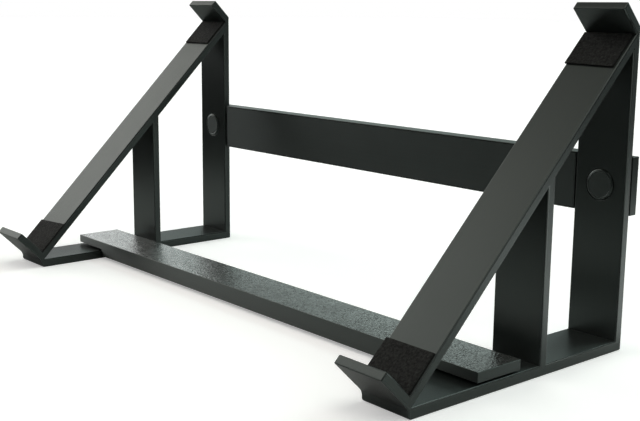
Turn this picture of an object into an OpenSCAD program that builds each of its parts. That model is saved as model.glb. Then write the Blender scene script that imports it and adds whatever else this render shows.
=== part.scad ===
// Slanted stand for a flat pedalboard. Two printed side frames carry the board on their
// diagonals, between a lower and an upper lip, and two printed cross bars hold the frames
// apart. Each cross bar ends in a half lap with a round peg, which pushes into a hole in
// the frame: from above at the front, and from behind at the rear.
//
// X runs along the cross bars, Y from front to back and Z up. The origin is on the floor,
// at the middle of the stand's box.

/* [Board] */
// Clear length along the slope, between the two lips
board_gap = 212; // [170:1:320]
// Slope of the board, in degrees from level
slope = 45; // [38:1:52]
// Length of the lower lip above the diagonal
lower_lip = 19.8; // [10:0.1:40]
// Length of the upper lip above the diagonal
upper_lip = 17.1; // [10:0.1:40]

/* [Side frames] */
// Width over both side frames
stand_w = 375; // [240:1:600]
// Width of a side frame's flat bars
frame_w = 30; // [24:0.5:45]
// Thickness of the diagonal, lips, upright and post
frame_t = 4.7; // [3.5:0.1:7]
// Thickness of the base bar
base_t = 5.4; // [4:0.1:8]
// Height at which the lower lip leaves the base's front face
lip_root_z = 4.8; // [4:0.1:6]
// Distance from the base's front face to where the diagonal's underside meets its top
apex_y = 1.9; // [1:0.1:4]
// How far the upright's back face is drawn in from the upper lip's outer corner
back_trim = 0.4; // [0:0.1:2]
// Distance from the base's front face to the front of the post
post_y = 87.7; // [78:0.1:100]
// Radius of the hollow between the lower lip and the base's front face
lip_fillet_r = 5; // [1:0.5:6]
// Radius of the base's front lower edge
toe_r = 2; // [0.5:0.1:2.5]
// Radius of the base's rear lower edge
heel_r = 1; // [0.5:0.1:3]

/* [Cross bars] */
// Width of a cross bar's broad face
bar_w = 30; // [22:0.5:40]
// Full thickness of a cross bar, between the side frames
bar_t = 10; // [8:0.1:14]
// Thickness left in each half-lapped end
lap_t = 5.2; // [3:0.1:7]
// Gap along the bar between a side frame and the shoulder of the lap
lap_gap = 1.2; // [0.5:0.1:8]
// How far each end of a cross bar stays inside the frame's outer face
end_inset = 0.4; // [0:0.1:3]
// Gap between the front cross bar and the post behind it
front_bar_gap = 14.1; // [2:0.1:25]
// Height of the rear cross bar's centre line
rear_bar_z = 85; // [50:1:110]

/* [Pegs] */
// Diameter of the holes in the side frames
hole_d = 16; // [10:0.1:20]
// Clearance all round between a peg and its hole
peg_fit = 0.1; // [0.05:0.01:0.3]
// Gap that a pegged cross bar leaves to the face of the side frames; its pegs bridge it
seat_gap = 1.2; // [0:0.1:3]
// Chamfer on a peg's end
peg_chamfer = 0.5; // [0.2:0.1:1.5]

/* [Pads] */
// Length of a pad along the slope
pad_len = 21.4; // [10:0.1:40]
// Thickness of a foam pad
pad_t = 0.9; // [0.5:0.1:3]
// Thickness of the tape under a pad
tape_t = 0.2; // [0.1:0.05:0.5]
// Margin between a lower pad and the side edges of the diagonal
lower_pad_margin = 0; // [0:0.1:4]
// Margin between an upper pad and the side edges of the diagonal
upper_pad_margin = 0.7; // [0:0.1:4]
// Gap between a pad and the lip next to it
pad_lip_gap = 0.3; // [0.3:0.1:5]

/* [Hidden] */
$fn = 96;

print_grey = [0.17, 0.18, 0.175];
bed_grey = [0.25, 0.26, 0.255];
foam_black = [0.07, 0.07, 0.065];
tape_black = [0.04, 0.04, 0.04];

// Directions in a side frame's plane: along the slope and square to it, outwards
along = [cos(slope), sin(slope)];
out = [-sin(slope), cos(slope)];

// The lower lip's outer face starts here, and the lip's inner face is frame_t further along
lip_root = [0, lip_root_z];
// Height of the diagonal's faces above lip_root, measured square to the slope
under_out = (base_t - lip_root_z) * cos(slope) - apex_y * sin(slope);
face_out = under_out + frame_t;
// Inner corners between the diagonal's face and the two lips
lower_corner = lip_root + frame_t * along + face_out * out;
upper_corner = lower_corner + board_gap * along;

// Depth of the base bar, and height at which the upper lip meets the upright's back face
base_d = upper_corner[0] + frame_t * cos(slope) - back_trim;
upright_h = upper_corner[1] + frame_t * sin(slope) + back_trim / tan(slope);

// Box of the whole stand from front to back, and the shift that centres it
lip_tip_y = lower_corner[0] - lower_lip * sin(slope) - frame_t * cos(slope);
stand_back_y = base_d + seat_gap + lap_t;
center_y = (lip_tip_y + stand_back_y) / 2;

frame_x = (stand_w - frame_w) / 2;
peg_r = hole_d / 2 - peg_fit;
// The pegs go right through the base bars, down to the floor
peg_len = base_t + seat_gap;
front_bar_y = post_y - front_bar_gap - bar_w;
bar_len = stand_w - 2 * end_inset;
shoulder_x = stand_w / 2 - frame_w - lap_gap;

// Overshoot of a cut past the face it goes through
cut = 1;
// How far the lip's hollow runs into the faces that it joins, so that it meets them at an edge
blend = 0.01;

// Height of the diagonal's underside at a given distance from the base's front face
function under_z(y) = base_t + (y - apex_y) * tan(slope);

// Places 2D shapes on axes along and square to the slope, from the foot of the lower lip
module on_slope() {
    translate(lip_root) rotate(slope) children();
}

// Upright bar that starts at y and runs up into the diagonal
module leg(y) {
    polygon([
        [y, 0], [y + frame_t, 0], [y + frame_t, under_z(y + frame_t) + cut], [y, under_z(y) + cut]
    ]);
}

// Flat bars of a side frame, seen from the side
module frame_bars() {
    square([base_d, base_t]);
    leg(base_d - frame_t);
    leg(post_y);
    on_slope() {
        translate([0, under_out]) square([board_gap + 2 * frame_t, frame_t]);
        square([frame_t, face_out + lower_lip]);
        translate([frame_t + board_gap, under_out]) square([frame_t, frame_t + upper_lip]);
    }
}

// Hollow that eases the lower lip's outer face into the base's front face
module lip_fillet() {
    reach = lip_fillet_r * tan((90 - slope) / 2);
    center = lip_root + [-lip_fillet_r, -reach];
    difference() {
        polygon([
            lip_root, lip_root + reach * out, center, lip_root - [0, reach],
            lip_root + [cut, -reach], lip_root + cut * along
        ]);
        translate(center) circle(lip_fillet_r + blend);
    }
}

// What a rounded lower corner of the base loses; points at +X and +Y from the corner
module corner_cut(r) {
    difference() {
        translate([-cut, -cut]) square(r + cut);
        translate([r, r]) circle(r);
    }
}

module frame_profile() {
    difference() {
        union() {
            frame_bars();
            lip_fillet();
        }
        translate([base_d, -cut]) square([2 * frame_t, upright_h + upper_lip + 2 * cut]);
        corner_cut(toe_r);
        translate([base_d, 0]) mirror([1, 0]) corner_cut(heel_r);
    }
}

module side_frame() {
    translate([-frame_w / 2, -center_y, 0])
        difference() {
            rotate([90, 0, 90]) linear_extrude(frame_w) frame_profile();
            translate([frame_w / 2, front_bar_y + bar_w / 2, -cut])
                cylinder(h = base_t + 2 * cut, d = hole_d);
            translate([frame_w / 2, base_d - frame_t - cut, rear_bar_z]) rotate([-90, 0, 0])
                cylinder(h = frame_t + 2 * cut, d = hole_d);
        }
}

// Round peg that points down, with its root at the origin
module peg() {
    translate([0, 0, peg_chamfer - peg_len]) cylinder(h = peg_len - peg_chamfer, r = peg_r);
    translate([0, 0, -peg_len]) cylinder(h = peg_chamfer, r1 = peg_r - peg_chamfer, r2 = peg_r);
}

// A cross bar on its back: its broad outer face is at the top, at Z = 0
module cross_bar() {
    translate([-bar_len / 2, -bar_w / 2, -lap_t]) cube([bar_len, bar_w, lap_t]);
    translate([-shoulder_x, -bar_w / 2, -bar_t]) cube([2 * shoulder_x, bar_w, bar_t]);
    for (side = [-1, 1]) translate([side * frame_x, 0, -lap_t]) peg();
}

// Places a flat piece on the diagonal's face: start is its distance up the slope from the
// lower lip, margin its distance from the diagonal's side edges, and level its height above
// the face
module on_face(side, start, margin, level, thick) {
    translate([side * frame_x + margin - frame_w / 2, -center_y, 0])
        rotate([90, 0, 90]) linear_extrude(frame_w - 2 * margin)
            on_slope() translate([frame_t + start, face_out + level]) square([pad_len, thick]);
}

lower_start = pad_lip_gap;
upper_start = board_gap - pad_lip_gap - pad_len;

module left_side_frame() {
    color(print_grey) translate([-frame_x, 0, 0]) side_frame();
}

module right_side_frame() {
    color(print_grey) translate([frame_x, 0, 0]) side_frame();
}

module front_cross_bar() {
    color(bed_grey) translate([0, front_bar_y + bar_w / 2 - center_y, peg_len + lap_t]) cross_bar();
}

module rear_cross_bar() {
    color(print_grey) translate([0, stand_back_y - center_y, rear_bar_z]) rotate([-90, 0, 0]) cross_bar();
}

module left_lower_pad() {
    color(foam_black) on_face(-1, lower_start, lower_pad_margin, tape_t, pad_t);
}

module left_upper_pad() {
    color(foam_black) on_face(-1, upper_start, upper_pad_margin, tape_t, pad_t);
}

module right_lower_pad() {
    color(foam_black) on_face(1, lower_start, lower_pad_margin, tape_t, pad_t);
}

module right_upper_pad() {
    color(foam_black) on_face(1, upper_start, upper_pad_margin, tape_t, pad_t);
}

module left_lower_tape() {
    color(tape_black) on_face(-1, lower_start, lower_pad_margin, 0, tape_t);
}

module left_upper_tape() {
    color(tape_black) on_face(-1, upper_start, upper_pad_margin, 0, tape_t);
}

module right_lower_tape() {
    color(tape_black) on_face(1, lower_start, lower_pad_margin, 0, tape_t);
}

module right_upper_tape() {
    color(tape_black) on_face(1, upper_start, upper_pad_margin, 0, tape_t);
}

left_side_frame();
right_side_frame();
front_cross_bar();
rear_cross_bar();
left_lower_pad();
left_upper_pad();
right_lower_pad();
right_upper_pad();
left_lower_tape();
left_upper_tape();
right_lower_tape();
right_upper_tape();
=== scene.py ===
"""Looks of the slanted pedalboard stand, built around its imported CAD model.

The side frames and cross bars are rebuilt from the CAD solids as printed pieces, with rounded
edges and the lines that a print head leaves. The foam pads and the tape under them are modelled
as sheets that were cut by hand. All sizes are in metres, in the frame's axes: X along the cross
bars, Y from front to back and Z up.
"""
import math
import bmesh
import bpy
from mathutils import Matrix, Vector, geometry, noise


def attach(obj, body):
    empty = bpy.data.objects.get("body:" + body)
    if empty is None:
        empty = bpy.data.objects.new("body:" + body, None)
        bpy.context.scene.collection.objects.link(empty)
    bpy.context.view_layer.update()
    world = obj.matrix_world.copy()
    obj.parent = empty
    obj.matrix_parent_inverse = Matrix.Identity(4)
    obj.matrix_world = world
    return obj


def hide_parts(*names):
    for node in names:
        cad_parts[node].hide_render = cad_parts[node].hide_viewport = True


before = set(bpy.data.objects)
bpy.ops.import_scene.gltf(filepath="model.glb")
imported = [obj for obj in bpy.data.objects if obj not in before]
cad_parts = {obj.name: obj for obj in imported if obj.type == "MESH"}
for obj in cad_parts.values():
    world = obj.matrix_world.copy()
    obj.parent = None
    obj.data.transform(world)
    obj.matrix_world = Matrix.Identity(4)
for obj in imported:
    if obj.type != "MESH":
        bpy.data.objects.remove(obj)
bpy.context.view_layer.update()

# Camera, as it stood for the photograph, which is 640 pixels wide
IMAGE_W = 640
FOCAL_PX = 1066.3
SENSOR_W = 36.0
CLIP = (0.01, 50.0)
CAMERA_AT = Vector((0.4887, -0.3776, 0.1721))
CAMERA_YAW = math.radians(49.69)
CAMERA_PITCH = math.radians(10.79)
CAMERA_ROLL = math.radians(-0.54)

# Ways along the frame's axes, and on the diagonals: up their slope and out of their faces
ACROSS = Vector((1.0, 0.0, 0.0))
BACK = Vector((0.0, 1.0, 0.0))
UP = Vector((0.0, 0.0, 1.0))
SLOPE = math.radians(45)
UPHILL = Vector((0.0, math.cos(SLOPE), math.sin(SLOPE)))
OUTWARD = Vector((0.0, -math.sin(SLOPE), math.cos(SLOPE)))

# CAD meshes: how close corners are welded, up to which angle faces count as one flat face, from
# which angle an outer edge is rounded, and in how many steps
WELD = 1e-6
FLAT_ANGLE = math.radians(1)
SHARP_ANGLE = math.radians(35)
ROUND_STEPS = 3

# Cosines of the angle between a face's normal and a way: above the first the face leans that
# way, and above the second it points that way
LEANS = 0.05
POINTS = 0.999

# Angles from which an edge stays sharp in the smooth shading
PRINT_CREASE = math.radians(38)
SHEET_CREASE = math.radians(50)

# Printing: height of a layer and width of a line, how many lines of the last layer follow its
# rims, and the depth and half width of the grooves beside these
LAYER = 0.0002
LINE = 0.00045
PERIMETERS = 2
GROOVE = 0.00003

# Corners of a groove, in insets: how far a mitre may reach, and how far in a corner lies whose
# mitre would be longer
MITRE_LIMIT = 2.0
BLUNT_REACH = 0.7

# Rounding of the prints' edges
FRAME_ROUND = 0.0006
BAR_ROUND = 0.0003

# Pads and tape: rounding of a pad's edges, step of the sheets' grid, then height, fineness and
# fractal of the foam's grain, and the share of its thickness that the tape keeps at its edge
PAD_ROUND = 0.0002
SHEET_STEP = 0.0005
PAD_GRAIN = 0.00008
GRAIN_SCALE = 1400
GRAIN_FRACTAL = (1.0, 2.0, 3)
TAPE_EDGE = 0.8

# How far off each pad's corners were cut, across and up the slope: lower left, lower right,
# upper right and upper left
PAD_CUTS = {
    "left_lower": ((0.0003, 0.0), (0.001, 0.0), (0.001, 0.0014), (0.0003, -0.0006)),
    "left_upper": ((0.0003, 0.0), (-0.0003, 0.0002), (-0.0003, 0.0), (0.0003, 0.0)),
    "right_lower": ((-0.001, 0.0), (-0.0007, 0.0), (-0.0007, 0.0), (-0.0006, 0.0)),
    "right_upper": ((-0.0011, 0.0002), (-0.0009, -0.0005), (-0.0009, 0.0), (-0.0009, 0.0)),
}

# Colours of the surfaces and of their gloss, linear
PRINT_GREY = (0.011, 0.0132, 0.0123)
BED_GREY = (0.016, 0.017, 0.0155)
PRINT_GLOSS = (0.85, 1.0, 0.95, 1.0)
BED_GLOSS = (1.0, 1.0, 0.94, 1.0)
FOAM_BLACK = (0.0068, 0.0076, 0.0066)
# Cut sides of the foam: darker than its skin, partly for its open cells and partly as painted shade on the
# pads' edges
CUT_BLACK = (0.005, 0.005, 0.005)
TAPE_BLACK = (0.008, 0.008, 0.008)
PAPER_WHITE = (0.85, 0.85, 0.85)

# Sides of a print: depth of the relief, roughness, and how far this swings either way
FINISHES = {
    "wall": (0.000008, 0.37, 0.06),
    "top": (0.00002, 0.36, 0.06),
    "rim": (0.000008, 0.25, 0.06),
    "bed": (0.00024, 0.22, 0.5),
}
PRINT_IOR = 1.5
WALL_ANISOTROPY = 0.85

# Glossy skin of the bed side: its least and most weight, the blotches' values where it has these,
# and its roughness. It has the bed side's index of refraction.
SKIN_WEIGHT = (0.45, 0.8)
SKIN_BLOTCHES = (0.38, 0.62)
SKIN_ROUGHNESS = 0.22
BED_IOR = 1.6

# Fineness of the noise on the prints, per metre. Three numbers are for the printer's axes: along
# the lines, across them and up the layers. BED_STRETCH multiplies the bed's blotches and pits.
CLOUDS = 45.0
FINE_GRAIN = 2600.0
WALL_STREAKS = (14.0, 14.0, 2200.0)
TOP_STREAKS = (10.0, 1300.0, 10.0)
RIM_SPECKS = 500.0
BED_STRETCH = (1.0, 0.45, 1.0)
BED_BLOTCHES = 800.0
BED_PITS = 1400.0

# How far each pattern on the prints swings the tone either way. Walls and tops have one number
# for the streaks and one for single lines. With a minus, a pattern's high values darken.
CLOUD_TONE = 0.14
WALL_TONES = (0.16, 0.05)
TOP_TONES = (0.14, 0.06)
SPECK_TONE = 0.05
BLOTCH_TONE = 1.6
PIT_TONE = -0.2

# Shares of the patterns in the relief: lines and streaks, or blotches and pits
WALL_SHARES = (0.6, 0.8)
TOP_SHARES = (0.7, 0.6)
BED_SHARES = (1.0, -0.5)

# Pads, tape and paper: fineness of the noise, per metre, and the tone and the roughness at its
# lowest and highest value. The foam has blotches too, and FOAM_RELIEF is the depth of its cells.
FOAM_CELLS = 850.0
FOAM_TONE = (-2.6, 4.6)
FOAM_ROUGHNESS = (0.95, 0.75)
FOAM_RELIEF = 0.0006
FOAM_BLOTCHES = 330.0
FOAM_BLOTCH_TONE = 0.3
CUT_CELLS = 1500.0
CUT_TONE = (0.5, 1.5)
TAPE_SMEARS = 700.0
TAPE_TONE = (0.8, 1.2)
TAPE_ROUGHNESS = (0.3, 0.45)
PAPER_CLOUDS = 3.0
PAPER_TONE = (0.99, 1.01)

# Table that the object stands on, and how much brighter than lit the camera sees its paper
FLOOR_SIZE = 24.0
TABLE_MIDDLE = (0.12, 0.15)
TABLE_REACH = (0.6, 0.34)
TABLE_FADE = 0.15
PAPER_GLOW = 0.42

# Colours of the studio's light
NEUTRAL = (1.0, 1.0, 1.0)
WARM = (1.0, 0.965, 0.88)
COOL = (0.82, 1.0, 0.95)

# Softboxes in the dark studio: azimuth from +X towards +Y, elevation, and half width to the
# middle of their soft edge, in degrees, then brightness and colour. SOFT_EDGE is half the width
# of that edge.
SOFTBOXES = {
    "left": (-175, 17, 15, 2.75, NEUTRAL),
    "left_low": (-153, 4, 13, 2.2, NEUTRAL),
    "left_front": (-146, 6, 8, 0.3, NEUTRAL),
    "left_high": (-158, 32, 23, 1.65, WARM),
    "back_left": (161, 12, 11, 1.6, NEUTRAL),
    "back_middle": (139, 23, 13, 1.1, COOL),
    "back": (90, 20, 24, 2.0, COOL),
    "back_high": (73, 42, 14, 3.6, COOL),
    "right_low": (30, 3, 12, 0.25, NEUTRAL),
    "right": (10, 6, 15, 0.7, NEUTRAL),
    "right_high": (0, 48, 16, 1.0, NEUTRAL),
    "overhead": (0, 80, 25, 1.4, WARM),
}
SOFT_EDGE = 6
ROOM_LIGHT = (0.07, 0.07, 0.07)

# Glowing panel that lies on the table, to the right and behind: middle, size and brightness
PANEL_AT = (0.32, 0.26, 0.001)
PANEL_SIZE = (0.24, 0.36)
PANEL_LIGHT = 1.25


# Camera

def make_camera():
    """Camera at the photograph's place and angle, with the photograph's field of view."""
    east, north = math.cos(CAMERA_YAW), math.sin(CAMERA_YAW)
    level, drop = math.cos(CAMERA_PITCH), math.sin(CAMERA_PITCH)
    forward = Vector((-north * level, east * level, -drop))
    right = Vector((east, north, 0.0))
    upright = Matrix((right, right.cross(forward), -forward)).transposed()
    turned = upright @ Matrix.Rotation(-CAMERA_ROLL, 3, "Z")
    data = bpy.data.cameras.new("camera")
    data.sensor_width = SENSOR_W
    data.lens = SENSOR_W * FOCAL_PX / IMAGE_W
    data.clip_start, data.clip_end = CLIP
    camera = bpy.data.objects.new("camera", data)
    bpy.context.scene.collection.objects.link(camera)
    camera.matrix_world = Matrix.Translation(CAMERA_AT) @ turned.to_4x4()
    bpy.context.scene.camera = camera


# Meshes

def new_object(name, bm):
    mesh = bpy.data.meshes.new(name)
    bm.to_mesh(mesh)
    bm.free()
    obj = bpy.data.objects.new(name, mesh)
    bpy.context.scene.collection.objects.link(obj)
    return obj


def shade(obj, materials, crease):
    """Gives an object its materials, and smooth shading between its sharp edges."""
    for material in materials:
        obj.data.materials.append(material)
    obj.data.shade_smooth()
    obj.data.set_sharp_from_angle(angle=crease)


def keep_flat(obj):
    """Shades flat faces as flat, up to the roundings beside them."""
    weighted = obj.modifiers.new("weighted", "WEIGHTED_NORMAL")
    weighted.keep_sharp = True
    weighted.weight = 100


def solid_of(node):
    """A CAD node's surface as a clean mesh: welded, and with its flat faces whole again."""
    bm = bmesh.new()
    bm.from_mesh(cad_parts[node].data)
    bmesh.ops.remove_doubles(bm, verts=bm.verts, dist=WELD)
    bmesh.ops.dissolve_limit(bm, angle_limit=FLAT_ANGLE, verts=bm.verts, edges=bm.edges)
    bmesh.ops.recalc_face_normals(bm, faces=bm.faces)
    return bm


def round_edges(bm, width):
    """Rounds the sharp outer edges."""
    sharp = [e for e in bm.edges if e.is_convex and e.calc_face_angle() > SHARP_ANGLE]
    bmesh.ops.bevel(
        bm, geom=sharp, offset=width, segments=ROUND_STEPS, profile=0.5, affect="EDGES",
        clamp_overlap=False)
    bmesh.ops.remove_doubles(bm, verts=bm.verts, dist=WELD)


def facing(bm, way):
    """Faces that point a way."""
    return [f for f in bm.faces if f.normal.dot(way) > POINTS]


def islands(faces):
    """Groups of faces that share edges, in the order of the mesh."""
    left, groups = list(faces), []
    while left:
        group = [left.pop(0)]
        for face in group:
            near = [f for e in face.edges for f in e.link_faces if f in left]
            for f in dict.fromkeys(near):
                left.remove(f)
                group.append(f)
        groups.append(group)
    return groups


def rims_of(group, normal):
    """The closed rims of a flat group of faces: for each, its corners and the ways into the group."""
    ahead = {}
    for face in group:
        for loop in face.loops:
            if sum(f in group for f in loop.edge.link_faces) == 1:
                ahead[loop.vert] = loop.link_loop_next.vert
    rims = []
    while ahead:
        rim = [next(iter(ahead))]
        while rim[-1] in ahead:
            rim.append(ahead.pop(rim[-1]))
        rim.pop()
        inward = [normal.cross(rim[(i + 1) % len(rim)].co - v.co).normalized() for i, v in enumerate(rim)]
        ways = []
        for i, after in enumerate(inward):
            before = inward[i - 1]
            way = (before + after) / (1.0 + before.dot(after))
            ways.append(way if way.length < MITRE_LIMIT else way.normalized() * BLUNT_REACH)
        rims.append((rim, ways))
    return rims


def groove_steps(rounding):
    """Insets and heights of the grooves' edges and bottoms, from the inner edge of the rounding."""
    steps = []
    for k in range(PERIMETERS):
        middle = (k + 1) * LINE - rounding
        if middle > 2 * GROOVE:
            steps += [(middle - GROOVE, 0.0), (middle, -GROOVE), (middle + GROOVE, 0.0)]
    return steps


def ring_grooves(bm, faces, rounding, ring_index):
    """Lines that run along the rim of each flat region: the perimeters of the last layer."""
    steps = groove_steps(rounding)
    for group in islands(faces):
        normal = group[0].normal.copy()
        flat_index = group[0].material_index
        inner = []
        for rim, ways in rims_of(group, normal):
            before = rim
            for inset, height in steps:
                ring = [bm.verts.new(v.co + way * inset + normal * height) for v, way in zip(rim, ways)]
                for i, v in enumerate(ring):
                    j = (i + 1) % len(ring)
                    face = bm.faces.new((before[i], before[j], ring[j], v))
                    face.material_index = ring_index
                before = ring
            inner.append(before)
        bmesh.ops.delete(bm, geom=group, context="FACES")
        flat = [v for ring in inner for v in ring]
        for triangle in geometry.tessellate_polygon([[v.co for v in ring] for ring in inner]):
            face = bm.faces.new([flat[i] for i in triangle])
            face.material_index = flat_index
            face.normal_update()
            if face.normal.dot(normal) < 0:
                face.normal_flip()


def span(node, way):
    """Where a CAD node begins and ends along a way."""
    reach = [v.co.dot(way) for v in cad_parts[node].data.vertices]
    return min(reach), max(reach)


def cut_sheet(corners, size, height):
    """Mesh of a sheet between four corners, whose cut sides have the second material.

    The corners go round from the lower left to the upper left one, and size is the sheet's width,
    length and thickness. height gives the top surface from the thickness, the place on the sheet
    and the distance to the nearest edge.
    """
    width, length, thick = size
    columns, rows = round(width / SHEET_STEP), round(length / SHEET_STEP)
    bm = bmesh.new()
    top, bottom = {}, {}
    for i in range(columns + 1):
        for j in range(rows + 1):
            u, v = i / columns, j / rows
            near = corners[0].lerp(corners[1], u)
            far = corners[3].lerp(corners[2], u)
            place = near.lerp(far, v)
            edge = min(u * width, (1 - u) * width, v * length, (1 - v) * length)
            top[i, j] = bm.verts.new(place + height(thick, place, edge) * OUTWARD)
            if i in (0, columns) or j in (0, rows):
                bottom[i, j] = bm.verts.new(place)
    for i in range(columns):
        for j in range(rows):
            bm.faces.new((top[i, j], top[i + 1, j], top[i + 1, j + 1], top[i, j + 1]))
    rim = [(i, 0) for i in range(columns)] + [(columns, j) for j in range(rows)]
    rim += [(i, rows) for i in range(columns, 0, -1)] + [(0, j) for j in range(rows, 0, -1)]
    for k, here in enumerate(rim):
        after = rim[(k + 1) % len(rim)]
        bm.faces.new((bottom[here], bottom[after], top[after], top[here])).material_index = 1
    bm.faces.new([bottom[k] for k in reversed(rim)])
    bmesh.ops.recalc_face_normals(bm, faces=bm.faces)
    return bm


def foam_height(thick, place, edge):
    """Full thickness inside, drawn in along a quarter circle at the edges, with a grain."""
    reach = min(edge, PAD_ROUND)
    drop = PAD_ROUND - math.sqrt(max(0.0, PAD_ROUND ** 2 - (PAD_ROUND - reach) ** 2))
    grain = noise.fractal(place * GRAIN_SCALE, *GRAIN_FRACTAL) * PAD_GRAIN
    return thick - PAD_GRAIN - drop + min(grain, PAD_GRAIN) * min(1.0, reach / PAD_ROUND)


def tape_height(thick, place, edge):
    """Flat, and pressed a little thinner at the cut edge."""
    return thick if edge > 0 else thick * TAPE_EDGE


# Nodes

class Nodes:
    """Short calls that add nodes to a tree and join them."""

    def __init__(self, tree):
        self.tree = tree

    def put(self, socket, value):
        """Joins an input to another node's output, or sets its value."""
        if isinstance(value, bpy.types.NodeSocket):
            self.tree.links.new(value, socket)
        else:
            socket.default_value = value

    def add(self, kind, inputs, output=0, **settings):
        node = self.tree.nodes.new(kind)
        for name, value in settings.items():
            setattr(node, name, value)
        for name, value in inputs.items():
            self.put(node.inputs[name], value)
        return node.outputs[output]

    def math(self, operation, *values):
        return self.add("ShaderNodeMath", dict(enumerate(values)), operation=operation)

    def vector_math(self, operation, *values, output="Vector"):
        return self.add("ShaderNodeVectorMath", dict(enumerate(values)), output, operation=operation)

    def weighed(self, a, share_a, b, share_b):
        """The sum of two values, each times its share."""
        return self.math("ADD", self.math("MULTIPLY", a, share_a), self.math("MULTIPLY", b, share_b))

    def spread(self, value, low, high, start=0.0, end=1.0, **settings):
        """Maps start to end onto low to high."""
        return self.add("ShaderNodeMapRange", {
            "Value": value, "From Min": start, "From Max": end, "To Min": low, "To Max": high}, **settings)

    def swing(self, value, reach):
        """Maps 0 to 1 onto as much below zero as above it."""
        return self.spread(value, -reach, reach)

    def fade(self, value, low, high, start, end):
        """Goes softly from low at start to high at end."""
        return self.spread(value, low, high, start, end, interpolation_type="SMOOTHSTEP")

    def noise(self, vector, scale, detail=2.0, roughness=0.5):
        return self.add("ShaderNodeTexNoise", {
            "Vector": vector, "Scale": scale, "Detail": detail, "Roughness": roughness})

    def tint(self, colour, value):
        """A colour made lighter or darker by a value."""
        return self.add("ShaderNodeVectorMath", {0: colour, "Scale": value}, operation="SCALE")

    def bump(self, height, distance):
        return self.add("ShaderNodeBump", {"Height": height, "Distance": distance})

    def place(self):
        """Where a point lies on its object."""
        return self.add("ShaderNodeTexCoord", {}, "Object")

    def parts(self, vector):
        """A vector's X, Y and Z."""
        return self.add("ShaderNodeSeparateXYZ", {0: vector}).node.outputs

    def seen(self):
        """1 where the camera looks straight at it, and 0 for light and reflections."""
        return self.add("ShaderNodeLightPath", {}, "Is Camera Ray")


class Shading(Nodes):
    """A new material's nodes."""

    def __init__(self, name):
        self.material = bpy.data.materials.new(name)
        self.material.use_nodes = True
        super().__init__(self.material.node_tree)
        self.shader = self.tree.nodes["Principled BSDF"]

    def set(self, **values):
        """Sets the shader's inputs, whose names have _ for a space here."""
        for name, value in values.items():
            self.put(self.shader.inputs[name.replace("_", " ")], value)


# Materials of the prints

def print_axes(s, order):
    """Object coordinates in the printer's order: along the lines, across them and up the layers."""
    parts = s.parts(s.place())
    return s.add("ShaderNodeCombineXYZ", {name: parts[axis] for name, axis in zip("XYZ", order)})


def ridges(s, coordinate, pitch):
    """Rounded ridges side by side, and a tone that changes from one ridge to the next."""
    count = s.math("DIVIDE", coordinate, pitch)
    across = s.math("MULTIPLY_ADD", s.math("FRACT", count), 2.0, -1.0)
    ridge = s.math("SUBTRACT", 1.0, s.math("MULTIPLY", across, across))
    tone = s.add("ShaderNodeTexWhiteNoise", {"W": s.math("FLOOR", count)}, noise_dimensions="1D")
    return ridge, tone


# Each of these gives a side's change of tone, its relief and the grain of its roughness.

def lined_side(s, vector, axis, pitch, streaks, tones, shares):
    """Lines side by side along one of the printer's axes, with streaks along the lines."""
    ridge, tone = ridges(s, s.parts(vector)[axis], pitch)
    streak = s.noise(s.vector_math("MULTIPLY", vector, streaks), 1.0, detail=3.0)
    change = s.math("ADD", s.swing(streak, tones[0]), s.swing(tone, tones[1]))
    return change, s.weighed(ridge, shares[0], streak, shares[1]), s.noise(vector, FINE_GRAIN)


def wall_side(s, vector):
    """The layers, one above the other."""
    return lined_side(s, vector, "Z", LAYER, WALL_STREAKS, WALL_TONES, WALL_SHARES)


def top_side(s, vector):
    """The lines of the last layer."""
    return lined_side(s, vector, "Y", LINE, TOP_STREAKS, TOP_TONES, TOP_SHARES)


def rim_side(s, vector):
    """Smooth plastic with faint specks: the perimeters, and the roundings beside them."""
    grain = s.noise(vector, FINE_GRAIN)
    return s.swing(s.noise(vector, RIM_SPECKS), SPECK_TONE), grain, grain


def bed_side(s, vector):
    """Blotches and pits, as a textured bed presses them in."""
    spots = s.vector_math("MULTIPLY", vector, BED_STRETCH)
    blotch = s.noise(spots, BED_BLOTCHES, detail=3.0)
    pits = s.add("ShaderNodeTexVoronoi", {"Vector": spots, "Scale": BED_PITS})
    change = s.math("ADD", s.swing(blotch, BLOTCH_TONE), s.swing(pits, PIT_TONE))
    return change, s.weighed(blotch, BED_SHARES[0], pits, BED_SHARES[1]), blotch


# A print's materials, in this order. Faces have the first one, wall, unless they are marked.
SIDES = {"wall": wall_side, "top": top_side, "rim": rim_side, "bed": bed_side}
TOP, RIM, BED = range(1, len(SIDES))


def draw_gloss(s, axis):
    """Draws the gloss out across the layers, which lie square to an axis."""
    ways = {name: float(i == axis) for i, name in enumerate("XYZ")}
    s.set(Tangent=s.add("ShaderNodeCombineXYZ", ways), Anisotropic=WALL_ANISOTROPY)


def add_skin(s, blotch, normal):
    """Glossy skin that follows the relief and is stronger on the blotches."""
    s.set(Coat_Weight=s.spread(blotch, *SKIN_WEIGHT, *SKIN_BLOTCHES))
    s.set(Coat_Roughness=SKIN_ROUGHNESS, Coat_IOR=BED_IOR, Coat_Normal=normal)


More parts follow.
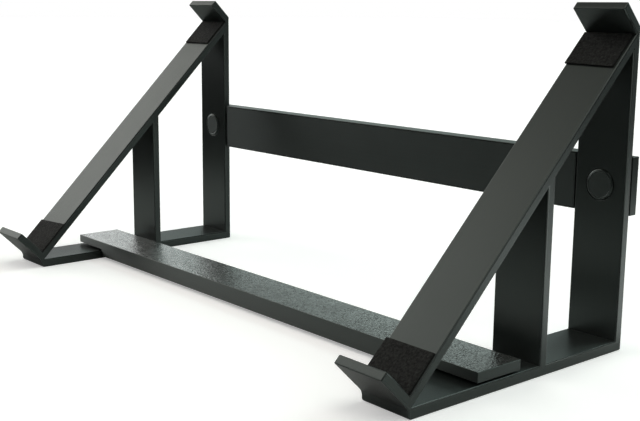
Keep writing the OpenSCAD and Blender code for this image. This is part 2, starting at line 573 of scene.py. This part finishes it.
def printed(name, order, side):
    """Printed plastic on one of the sides of a print. order gives the printer's axes."""
    s = Shading(name)
    vector = print_axes(s, order)
    relief, rough, swing = FINISHES[side]
    change, height, grain = SIDES[side](s, vector)
    cloud = s.noise(vector, CLOUDS, detail=4.0)
    tone = s.math("ADD", change, s.spread(cloud, 1.0 - CLOUD_TONE, 1.0 + CLOUD_TONE))
    normal = s.bump(height, relief)
    s.set(Normal=normal)
    s.set(Roughness=s.spread(s.weighed(grain, 0.5, cloud, 0.5), rough - swing, rough + swing))
    if side == "bed":
        s.set(Base_Color=s.tint(BED_GREY, tone), IOR=BED_IOR, Specular_Tint=BED_GLOSS)
        add_skin(s, grain, normal)
    else:
        s.set(Base_Color=s.tint(PRINT_GREY, tone), IOR=PRINT_IOR, Specular_Tint=PRINT_GLOSS)
    if side == "wall":
        draw_gloss(s, order[2])
    return s.material


# Materials of the pads, the tape and the table

def foam(name):
    """Closed-cell foam: dark, with a fine mottled grain."""
    s = Shading(name)
    cells = s.noise(s.place(), FOAM_CELLS, detail=3.0, roughness=0.6)
    blotch = s.noise(s.place(), FOAM_BLOTCHES)
    tone = s.math("ADD", s.spread(cells, *FOAM_TONE), s.swing(blotch, FOAM_BLOTCH_TONE))
    s.set(Base_Color=s.tint(FOAM_BLACK, tone), Normal=s.bump(cells, FOAM_RELIEF))
    s.set(Roughness=s.spread(cells, *FOAM_ROUGHNESS), Specular_IOR_Level=0.25)
    return s.material


def foam_cut(name):
    """Side of the foam where it was cut, darker than its skin: partly its open cells, partly painted shade
    on the pads' edges.
    """
    s = Shading(name)
    cells = s.noise(s.place(), CUT_CELLS)
    s.set(Base_Color=s.tint(CUT_BLACK, s.spread(cells, *CUT_TONE)))
    s.set(Roughness=0.95, Specular_IOR_Level=0.1)
    return s.material


def tape_film(name):
    """Double-sided tape, of which only the edge shows, with faint smears."""
    s = Shading(name)
    smear = s.noise(s.place(), TAPE_SMEARS)
    s.set(Base_Color=s.tint(TAPE_BLACK, s.spread(smear, *TAPE_TONE)))
    s.set(Roughness=s.spread(smear, *TAPE_ROUGHNESS))
    return s.material


def table_paper(name):
    """Pale paper. To the camera it goes on for ever, but only the table's part lights the object."""
    s = Shading(name)
    parts = s.parts(s.place())
    table = 1.0
    for axis, middle, reach in zip("XY", TABLE_MIDDLE, TABLE_REACH):
        off = s.math("ABSOLUTE", s.math("SUBTRACT", parts[axis], middle))
        inside = s.fade(off, 1.0, 0.0, reach - TABLE_FADE, reach + TABLE_FADE)
        table = s.math("MULTIPLY", table, inside)
    seen = s.seen()
    grain = s.spread(s.noise(s.place(), PAPER_CLOUDS), *PAPER_TONE)
    s.set(Base_Color=s.tint(PAPER_WHITE, s.math("MULTIPLY", s.math("MAXIMUM", seen, table), grain)))
    s.set(Emission_Color=PAPER_WHITE + (1.0,), Emission_Strength=s.math("MULTIPLY", seen, PAPER_GLOW))
    s.set(Roughness=0.9, Specular_IOR_Level=0.0)
    return s.material


# Pieces

def printed_piece(name, node, body, order, up, rounding, smooth_rims=False):
    """A CAD solid as a printed piece that lay on the bed with its up side uppermost.

    order gives the axes along the last layer's lines, across them and up the layers. smooth_rims
    says that the roundings beside the last layer are as smooth as its perimeters.
    """
    bm = solid_of(node)
    round_edges(bm, rounding)
    bm.normal_update()
    for face in facing(bm, -up):
        face.material_index = BED
    tops = facing(bm, up)
    for face in tops:
        face.material_index = TOP
    if smooth_rims:
        for face in bm.faces:
            if LEANS < face.normal.dot(up) < POINTS:
                face.material_index = RIM
    ring_grooves(bm, tops, rounding, RIM)
    piece = new_object(name, bm)
    shade(piece, [printed(f"{name}_{side}", order, side) for side in SIDES], PRINT_CREASE)
    keep_flat(piece)
    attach(piece, body)
    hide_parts(node)


def cut_piece(name, node, cuts, materials, height):
    """A sheet that was cut by hand, on a diagonal's face, in the place of a CAD sheet.

    cuts says how far each corner lies off the CAD sheet's, across and up the slope. materials are
    those of the broad faces and of the cut sides.
    """
    (left, right), (low, high), (under, over) = (span(node, way) for way in (ACROSS, UPHILL, OUTWARD))
    width, length = right - left, high - low
    corner = left * ACROSS + low * UPHILL + under * OUTWARD
    ends = ((0.0, 0.0), (width, 0.0), (width, length), (0.0, length))
    corners = [corner + (x + dx) * ACROSS + (y + dy) * UPHILL for (x, y), (dx, dy) in zip(ends, cuts)]
    piece = new_object(name, cut_sheet(corners, (width, length, over - under), height))
    shade(piece, materials, SHEET_CREASE)
    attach(piece, "side_frames")
    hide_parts(node)
    return piece


def make_pieces():
    for side in ("left", "right"):
        printed_piece(
            f"{side}_frame", f"{side}_side_frame", "side_frames",
            order=(1, 2, 0), up=ACROSS, rounding=FRAME_ROUND, smooth_rims=True)
    printed_piece(
        "front_bar", "front_cross_bar", "front_bar",
        order=(0, 1, 2), up=-UP, rounding=BAR_ROUND)
    printed_piece(
        "rear_bar", "rear_cross_bar", "rear_bar",
        order=(0, 2, 1), up=-BACK, rounding=BAR_ROUND)
    foam_sides = (foam("pad_foam"), foam_cut("pad_foam_cut"))
    tape = tape_film("pad_tape")
    for place, cuts in PAD_CUTS.items():
        foam_piece = cut_piece(f"{place}_foam", f"{place}_pad", cuts, foam_sides, foam_height)
        cut_piece(f"{place}_film", f"{place}_tape", cuts, (tape, tape), tape_height)


# Studio

def make_world():
    """Dark room with softboxes. The camera sees plain white."""
    world = bpy.data.worlds.new("studio")
    world.use_nodes = True
    nodes = Nodes(world.node_tree)
    way = nodes.add("ShaderNodeTexCoord", {}, "Generated")
    light = ROOM_LIGHT
    for azimuth, elevation, width, brightness, colour in SOFTBOXES.values():
        turn, lift = math.radians(azimuth), math.radians(elevation)
        level = math.cos(lift)
        middle = Vector((math.cos(turn) * level, math.sin(turn) * level, math.sin(lift)))
        near = nodes.vector_math("DOT_PRODUCT", way, middle, output="Value")
        outer, inner = (math.cos(math.radians(width + step)) for step in (SOFT_EDGE, -SOFT_EDGE))
        glow = nodes.fade(near, 0.0, brightness, outer, inner)
        light = nodes.vector_math("MULTIPLY_ADD", glow, colour, light)
    shown = nodes.vector_math("MAXIMUM", light, nodes.seen())
    nodes.put(nodes.tree.nodes["Background"].inputs["Color"], shown)
    bpy.context.scene.world = world


def make_panel():
    """Panel on the table that glows upwards. The camera doesn't see it."""
    data = bpy.data.lights.new("panel", "AREA")
    data.shape = "RECTANGLE"
    data.size, data.size_y = PANEL_SIZE
    data.energy = PANEL_LIGHT * math.pi * PANEL_SIZE[0] * PANEL_SIZE[1]
    panel = bpy.data.objects.new("panel", data)
    bpy.context.scene.collection.objects.link(panel)
    panel.location = PANEL_AT
    panel.rotation_euler = (math.pi, 0.0, 0.0)
    panel.visible_camera = False


def make_studio():
    bpy.ops.mesh.primitive_plane_add(size=FLOOR_SIZE, location=(0, 0, 0))
    floor = bpy.context.object
    floor.name = "floor"
    floor.data.materials.append(table_paper("table_paper"))
    make_world()
    make_panel()
    bpy.context.scene.view_settings.view_transform = "Standard"


make_camera()
make_pieces()
make_studio()

bpy.context.view_layer.update()
